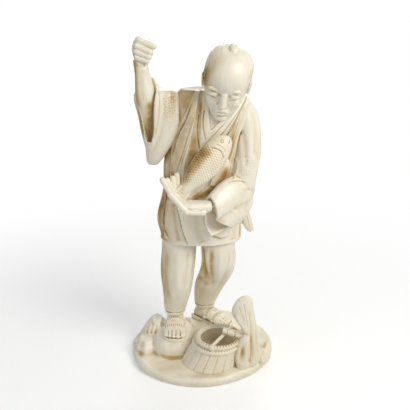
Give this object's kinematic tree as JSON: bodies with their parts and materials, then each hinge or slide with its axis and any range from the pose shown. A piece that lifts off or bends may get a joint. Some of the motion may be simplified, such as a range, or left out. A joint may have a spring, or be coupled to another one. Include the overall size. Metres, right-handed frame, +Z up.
{
  "type": "okimono carving",
  "caption": "Small standing figure of a fisherman, one fist raised and a fish in the other hand, on a rock plinth with a slatted tub and a curled wrapper.",
  "frame": {"origin": "middle of the plinth's flat underside", "axes": "+Z up, -Y towards the viewer of the front, +X to that viewer's right"},
  "size_m": [0.0803, 0.0661, 0.1764],
  "materials": {
    "ivory_polished": "polished, slightly translucent",
    "ivory_patinated": "polished with brown patina in the cuts",
    "peg_stock": "turned, matt"
  },
  "bodies": {
    "root": {"base": "ivory_patinated", "right_foot": "ivory_polished", "left_foot": "ivory_polished", "right_leg": "ivory_polished", "left_leg": "ivory_polished", "coat": "ivory_polished", "inner_robe": "ivory_polished", "head": "ivory_polished", "right_sleeve": "ivory_polished", "right_forearm": "ivory_polished", "left_sleeve": "ivory_polished", "left_hand": "ivory_polished", "fish": "ivory_patinated", "tub": "ivory_patinated", "tub_rod": "ivory_patinated", "wrapper": "ivory_patinated", "wrapper_stalk": "ivory_patinated", "sash_ends": "ivory_patinated", "large_pegs": "peg_stock", "small_pegs": "peg_stock", "leg_dowels": "peg_stock"}
  },
  "joints": []
}
